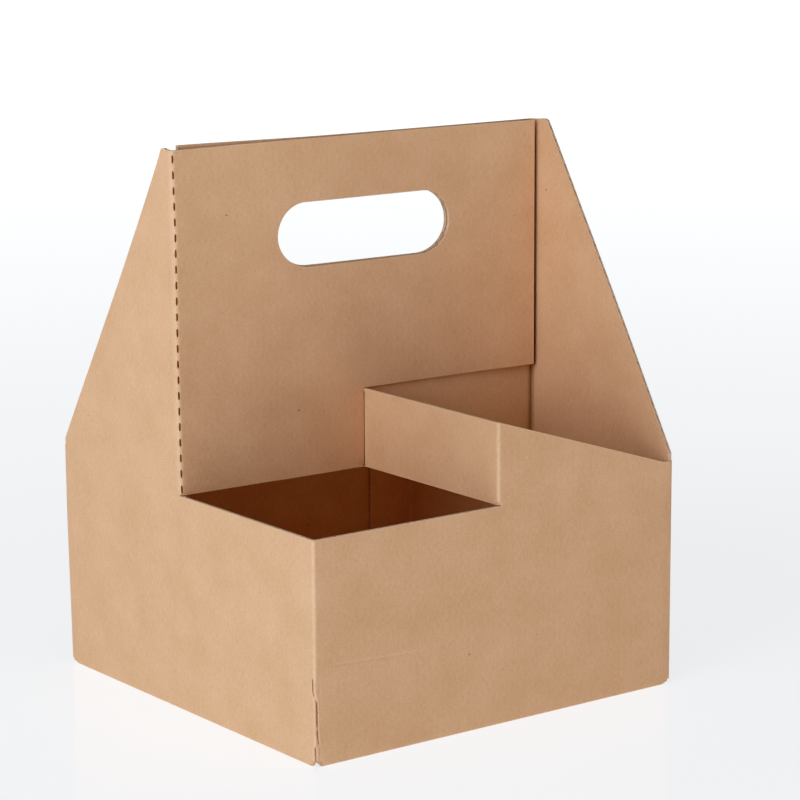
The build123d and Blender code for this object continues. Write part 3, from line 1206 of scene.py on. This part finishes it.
def floor_material():
    """A slightly glossy table top that glows white, a little brighter far away."""
    nodes = Nodes("table_top")
    place = nodes.tree.nodes.new("ShaderNodeNewGeometry")
    length = nodes.tree.nodes.new("ShaderNodeVectorMath")
    length.operation = "LENGTH"
    nodes.set(length.inputs[0], place.outputs["Position"])
    glow = nodes.spread(length.outputs["Value"], *FLOOR_GLOW_REACH, FLOOR_NEAR, FLOOR_FAR)
    nodes.set(nodes.shader.inputs["Emission Strength"], glow)
    nodes.shader.inputs["Emission Color"].default_value = FLOOR_GLOW_COLOUR
    nodes.shader.inputs["Base Color"].default_value = FLOOR_COLOUR
    nodes.shader.inputs["Roughness"].default_value = FLOOR_ROUGHNESS
    nodes.shader.inputs["Specular IOR Level"].default_value = FLOOR_SPECULAR
    return nodes.material


def add_floor():
    mesh = bpy.data.meshes.new("floor")
    r = FLOOR_REACH
    mesh.from_pydata([(-r, -r, 0), (r, -r, 0), (r, r, 0), (-r, r, 0)], [], [(0, 1, 2, 3)])
    floor = bpy.data.objects.new("floor", mesh)
    bpy.context.collection.objects.link(floor)
    mesh.materials.append(floor_material())


# The sky's strength low down and high up, and how far up a direction points where it changes
SKY_HORIZON = 0.22
SKY_ZENITH = 0.21
SKY_CHANGE = (0.12, 0.85)
LAMP_DISTANCE = 1.9
LAMP_SIZE = 1.2
LAMP_AIM = Vector((0, 0, 0.1))
# Each lamp's azimuth and elevation in degrees, its power in watts and its colour
LAMPS = {
    "key": (-70, 20, 18.3, (0.90, 1.01, 1.10)),
    "front": (0, 6, 2.0, (1.0, 1.0, 1.04)),
    "overhead": (-12, 72, 2.4, (1.0, 1.0, 1.0)),
}


# The photograph's tones: deep in the shadows, and true from the middle up
TONE_CURVE = ((0.02, 0.003), (0.05, 0.022), (0.10, 0.068), (0.20, 0.168), (0.35, 0.333), (0.5, 0.497))


def add_sky():
    """A dim, even studio round the carrier."""
    world = bpy.data.worlds.new("studio")
    world.use_nodes = True
    tree = world.node_tree
    ahead = tree.nodes.new("ShaderNodeTexCoord")
    parts = tree.nodes.new("ShaderNodeSeparateXYZ")
    tree.links.new(ahead.outputs["Generated"], parts.inputs[0])
    level = tree.nodes.new("ShaderNodeMapRange")
    for socket, number in zip(level.inputs[1:5], (*SKY_CHANGE, SKY_HORIZON, SKY_ZENITH)):
        socket.default_value = number
    tree.links.new(parts.outputs["Z"], level.inputs[0])
    tree.links.new(level.outputs[0], tree.nodes["Background"].inputs["Strength"])
    tree.nodes["Background"].inputs["Color"].default_value = (1, 1, 1, 1)
    bpy.context.scene.world = world


def add_lamp(name, azimuth, elevation, power, colour):
    """A large soft box that faces the carrier. Azimuth 0 is in front of it."""
    azimuth, elevation = math.radians(azimuth), math.radians(elevation)
    light = bpy.data.lights.new(name, "AREA")
    light.shape = "SQUARE"
    light.size = LAMP_SIZE
    light.energy = power
    light.color = colour
    lamp = bpy.data.objects.new(name, light)
    away = Vector((
        math.sin(azimuth) * math.cos(elevation),
        -math.cos(azimuth) * math.cos(elevation),
        math.sin(elevation),
    ))
    lamp.location = LAMP_AIM + away * LAMP_DISTANCE
    lamp.rotation_euler = away.to_track_quat("Z", "Y").to_euler()
    bpy.context.collection.objects.link(lamp)


def add_light():
    """The sky, the lamps and the tones that the picture is shown with."""
    add_sky()
    for name, setting in LAMPS.items():
        add_lamp(name, *setting)
    view = bpy.context.scene.view_settings
    view.view_transform = "Standard"
    view.use_curve_mapping = True
    combined = 3
    curve = view.curve_mapping.curves[combined]
    for level, shown in TONE_CURVE:
        curve.points.new(level, shown)
    view.curve_mapping.update()


add_camera()
add_floor()
add_light()
